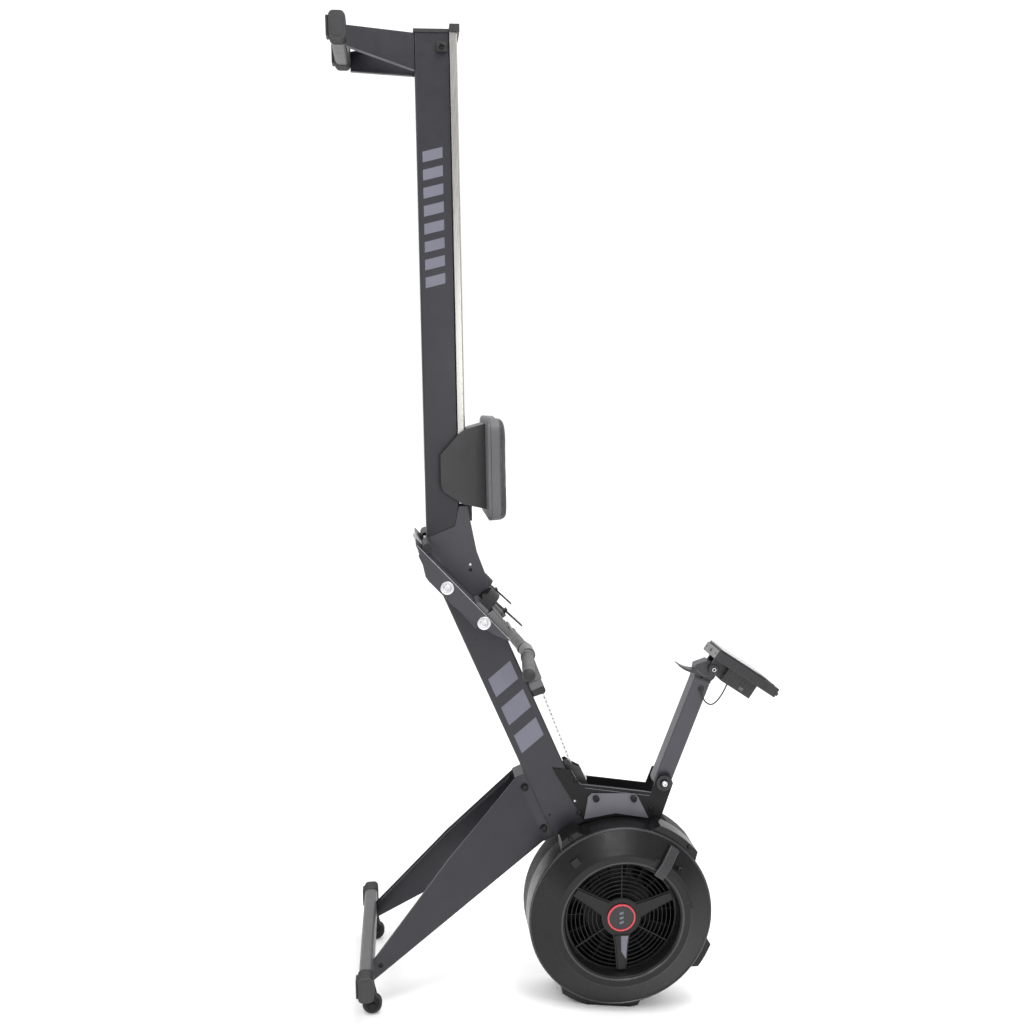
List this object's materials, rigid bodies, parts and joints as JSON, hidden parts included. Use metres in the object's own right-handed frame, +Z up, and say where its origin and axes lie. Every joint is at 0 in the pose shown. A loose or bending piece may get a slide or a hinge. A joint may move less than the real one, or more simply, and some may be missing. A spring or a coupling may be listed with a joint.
{
  "type": "rowing machine",
  "caption": "Air rower stored on end: sliding seat on a steel-tracked rail, chain-pulled handle, caged fan flywheel, folding monitor arm, splayed legs.",
  "frame": {"origin": "middle of the footprint on the floor that the stored machine stands on", "axes": "+Z up along the stored machine, +X from the rail towards the fan, +Y to the rower's left across the frame"},
  "size_m": [1.3878, 0.522, 2.4996],
  "materials": {
    "charcoal_frame": "satin powder coat",
    "dark_plate": "satin powder coat",
    "grey_foot_tube": "satin powder coat",
    "steel_track": "brushed",
    "black_bolt": "black oxide",
    "zinc_bolt": "bright zinc",
    "steel_part": "machined",
    "chain_steel": "nickel plated",
    "black_plastic": "moulded, fine grain",
    "grey_plastic": "moulded",
    "white_nylon": "moulded nylon",
    "black_rubber": "matt",
    "webbing": "woven strap",
    "seat_foam": "soft moulded foam skin",
    "badge_red": "gloss ring",
    "screen_glass": "gloss",
    "light_latch": "satin",
    "hanger_grey": "satin powder coat"
  },
  "bodies": {
    "frame": {"main_beam": "charcoal_frame", "right_leg": "dark_plate", "left_leg": "dark_plate", "frame_bolts": "black_bolt", "front_stabiliser": "grey_foot_tube", "tube_end_caps": "black_plastic", "floor_pads": "black_rubber", "wheel_brackets": "dark_plate", "rail_tube": "charcoal_frame", "rail_track": "steel_track", "rail_end_cap": "black_plastic", "seat_stops": "black_rubber", "rear_legs": "dark_plate", "rear_foot_tube": "grey_foot_tube", "joint_plates": "dark_plate", "foot_cross_tubes": "dark_plate", "foot_plates": "dark_plate", "foot_bolts": "zinc_bolt", "heel_stops": "black_rubber", "fan_bracket": "dark_plate", "hanger_plate": "hanger_grey", "fan_front_cover": "black_plastic", "fan_rear_cover": "black_plastic", "fan_grille": "black_plastic", "hub_badge": "badge_red", "fan_axle": "steel_part", "speed_sensor": "black_plastic", "chain_guide": "grey_plastic", "drive_chain": "chain_steel", "shock_cord": "black_rubber", "handle_holder": "black_rubber"},
    "latch": {"latch_lever": "light_latch"},
    "right_transport_wheel": {"right_wheel": "black_rubber"},
    "left_transport_wheel": {"left_wheel": "black_rubber"},
    "right_foot_rest": {"right_toe_slider": "grey_plastic", "right_foot_strap": "webbing"},
    "left_foot_rest": {"left_toe_slider": "grey_plastic", "left_foot_strap": "webbing"},
    "fan_rotor": {"flywheel": "steel_part", "fan_bearings": "steel_part"},
    "drive_sprocket": {"sprocket": "steel_part"},
    "damper": {"damper_ring": "black_plastic"},
    "chain_roller": {"guide_roller": "white_nylon"},
    "cord_pulley": {"return_pulley": "white_nylon"},
    "handle": {"handle_bar": "dark_plate", "handle_grips": "black_rubber", "handle_bail": "grey_plastic", "chain_run": "chain_steel"},
    "seat": {"seat_frame": "steel_part", "seat_cover": "black_plastic", "seat_pad": "seat_foam"},
    "seat_front_rollers": {"front_rollers": "white_nylon"},
    "seat_rear_rollers": {"rear_rollers": "white_nylon"},
    "seat_lower_rollers": {"lower_rollers": "white_nylon"},
    "arm": {"monitor_arm": "charcoal_frame", "arm_head": "grey_plastic", "monitor_cable": "black_rubber"},
    "monitor": {"monitor_case": "black_plastic", "monitor_screen": "screen_glass", "battery_box": "black_plastic"}
  },
  "joints": [
    {"name": "seat_slide", "type": "slide", "parent": "frame", "child": "seat", "axis": [-0.1333, 0, 0.9911], "range_m": [0, 0.93]},
    {"name": "seat_front_roller_spin", "type": "hinge", "parent": "seat", "child": "seat_front_rollers", "pos_m": [-0.21227, 0, 1.35401], "axis": [0, 1, 0], "range_deg": [-3812, 0]},
    {"name": "seat_rear_roller_spin", "type": "hinge", "parent": "seat", "child": "seat_rear_rollers", "pos_m": [-0.2304, 0, 1.4888], "axis": [0, 1, 0], "range_deg": [-3812, 0]},
    {"name": "seat_lower_roller_spin", "type": "hinge", "parent": "seat", "child": "seat_lower_rollers", "pos_m": [-0.26534, 0, 1.41549], "axis": [0, 1, 0], "range_deg": [0, 4850]},
    {"name": "handle_pull", "type": "slide", "parent": "frame", "child": "handle", "axis": [0.1278, 0, 0.9918], "range_m": [0, 1.1], "stiffness_N_per_m": 20, "springref_m": -1, "deforming": ["chain_run"]},
    {"name": "sprocket_turn", "type": "hinge", "parent": "frame", "child": "drive_sprocket", "pos_m": [0.314, 0, 0.2604], "axis": [0, 1, 0], "range_deg": [-2230, 0]},
    {"name": "chain_roller_turn", "type": "hinge", "parent": "frame", "child": "chain_roller", "pos_m": [0.18228, 0, 0.6004], "axis": [0, 1, 0], "range_deg": [0, 5735]},
    {"name": "cord_pulley_turn", "type": "hinge", "parent": "frame", "child": "cord_pulley", "pos_m": [-0.15412, 0, 0.96504], "axis": [0, 1, 0], "range_deg": [0, 3510]},
    {"name": "fan_spin", "type": "hinge", "parent": "frame", "child": "fan_rotor", "pos_m": [0.314, 0, 0.2604], "axis": [0, 1, 0], "continuous": true},
    {"name": "damper_turn", "type": "hinge", "parent": "frame", "child": "damper", "pos_m": [0.314, 0, 0.2604], "axis": [0, 1, 0], "range_deg": [-5, 38]},
    {"name": "latch_release", "type": "hinge", "parent": "frame", "child": "latch", "pos_m": [-0.31878, 0, 1.16916], "axis": [0, -1, 0], "range_deg": [0, 18], "stiffness_Nm_per_rad": 2, "springref_deg": -17.19},
    {"name": "right_wheel_spin", "type": "hinge", "parent": "frame", "child": "right_transport_wheel", "pos_m": [-0.32836, -0.184, 0.025], "axis": [0, 1, 0], "continuous": true},
    {"name": "left_wheel_spin", "type": "hinge", "parent": "frame", "child": "left_transport_wheel", "pos_m": [-0.32836, 0.184, 0.025], "axis": [0, 1, 0], "continuous": true},
    {"name": "right_foot_rest_slide", "type": "slide", "parent": "frame", "child": "right_foot_rest", "axis": [-0.7678, 0, 0.6406], "range_m": [0, 0.055]},
    {"name": "left_foot_rest_slide", "type": "slide", "parent": "frame", "child": "left_foot_rest", "axis": [-0.7678, 0, 0.6406], "range_m": [0, 0.055]},
    {"name": "arm_tilt", "type": "hinge", "parent": "frame", "child": "arm", "pos_m": [0.40248, 0, 0.61536], "axis": [0, 1, 0], "range_deg": [-8, 50]},
    {"name": "monitor_tilt", "type": "hinge", "parent": "arm", "child": "monitor", "pos_m": [0.50073, 0, 0.9406], "axis": [0, 1, 0], "range_deg": [-25, 15], "deforming": ["monitor_cable"]}
  ],
  "couplings": [
    {"joint": "seat_front_roller_spin", "follows": "seat_slide", "rad_per_m": -71.429},
    {"joint": "seat_rear_roller_spin", "follows": "seat_slide", "rad_per_m": -71.429},
    {"joint": "seat_lower_roller_spin", "follows": "seat_slide", "rad_per_m": 90.909},
    {"joint": "sprocket_turn", "follows": "handle_pull", "rad_per_m": -35.336},
    {"joint": "chain_roller_turn", "follows": "handle_pull", "rad_per_m": 90.909},
    {"joint": "cord_pulley_turn", "follows": "handle_pull", "rad_per_m": 55.556}
  ]
}
